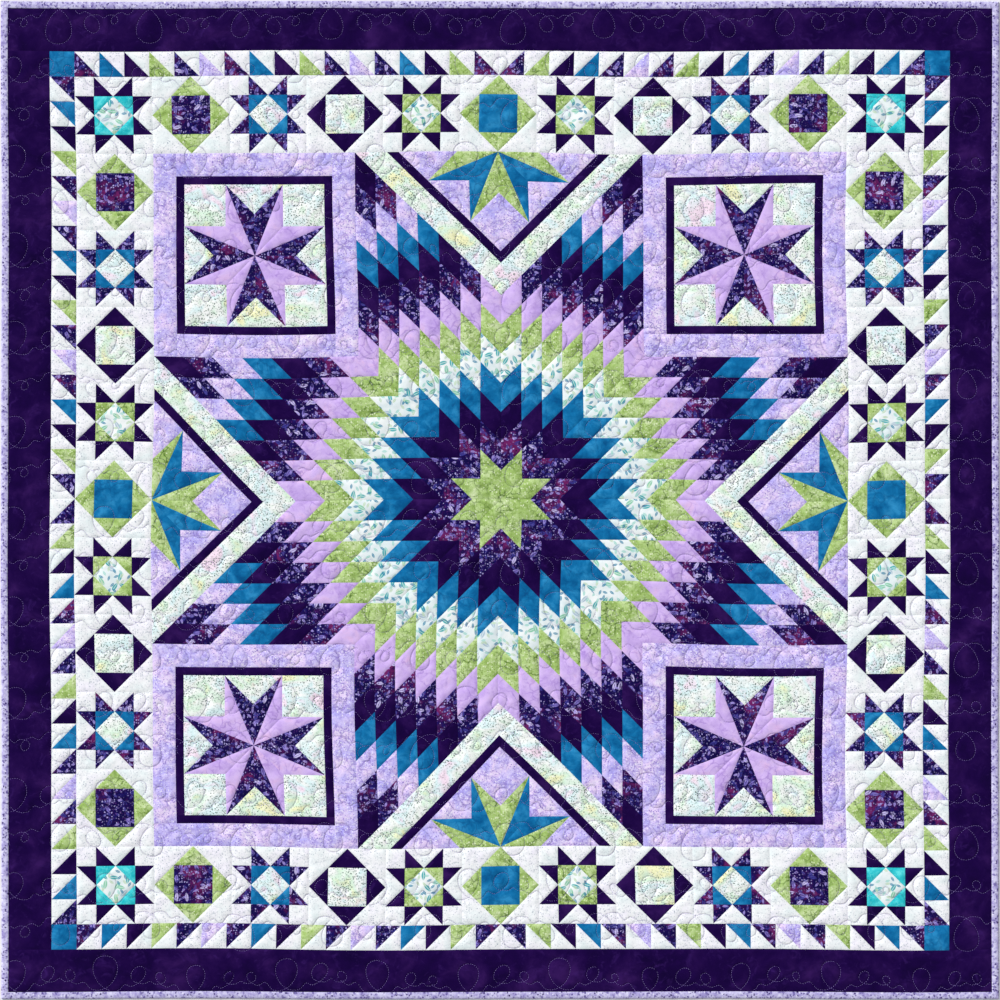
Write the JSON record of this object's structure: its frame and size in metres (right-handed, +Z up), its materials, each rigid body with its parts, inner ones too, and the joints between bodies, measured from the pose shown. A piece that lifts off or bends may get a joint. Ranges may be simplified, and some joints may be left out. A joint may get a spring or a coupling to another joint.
{
  "type": "star quilt blanket",
  "caption": "Flat quilted blanket with an eight-pointed star of small diamonds, set with corner squares and side triangles inside pieced and plain borders, bound all round.",
  "frame": {"origin": "middle of the quilt's flat underside, on the surface it lies on", "axes": "+Z up through the quilt to its pieced face, +Y towards its top edge, +X to the right seen from above"},
  "size_m": [2.1362, 2.1361, 0.006],
  "materials": {
    "star_cottons": "pieced printed quilting cottons, dark floral purple overall, matte",
    "lavender_cotton": "mottled lavender quilting cotton, matte",
    "speckled_cotton": "near-white quilting cotton with pastel speckles, matte",
    "white_cotton": "white tone-on-tone quilting cotton, matte",
    "teal_cotton": "mottled teal blue quilting cotton, matte",
    "deep_purple_cotton": "deep purple mottled quilting cotton, matte",
    "lilac_binding": "pale lilac cotton with small dark marks, matte"
  },
  "bodies": {
    "root": {"star_point_1": "star_cottons", "star_point_2": "star_cottons", "star_point_3": "star_cottons", "star_point_4": "star_cottons", "star_point_5": "star_cottons", "star_point_6": "star_cottons", "star_point_7": "star_cottons", "star_point_8": "star_cottons", "corner_square_1": "lavender_cotton", "side_triangle_1": "speckled_cotton", "corner_square_2": "lavender_cotton", "side_triangle_2": "speckled_cotton", "corner_square_3": "lavender_cotton", "side_triangle_3": "speckled_cotton", "corner_square_4": "lavender_cotton", "side_triangle_4": "speckled_cotton", "block_border_top": "white_cotton", "sawtooth_border_top": "teal_cotton", "outer_border_top": "deep_purple_cotton", "binding_top": "lilac_binding", "block_border_bottom": "white_cotton", "sawtooth_border_bottom": "teal_cotton", "outer_border_bottom": "deep_purple_cotton", "binding_bottom": "lilac_binding", "block_border_left": "white_cotton", "sawtooth_border_left": "teal_cotton", "outer_border_left": "deep_purple_cotton", "binding_left": "lilac_binding", "block_border_right": "white_cotton", "sawtooth_border_right": "teal_cotton", "outer_border_right": "deep_purple_cotton", "binding_right": "lilac_binding"}
  },
  "joints": []
}
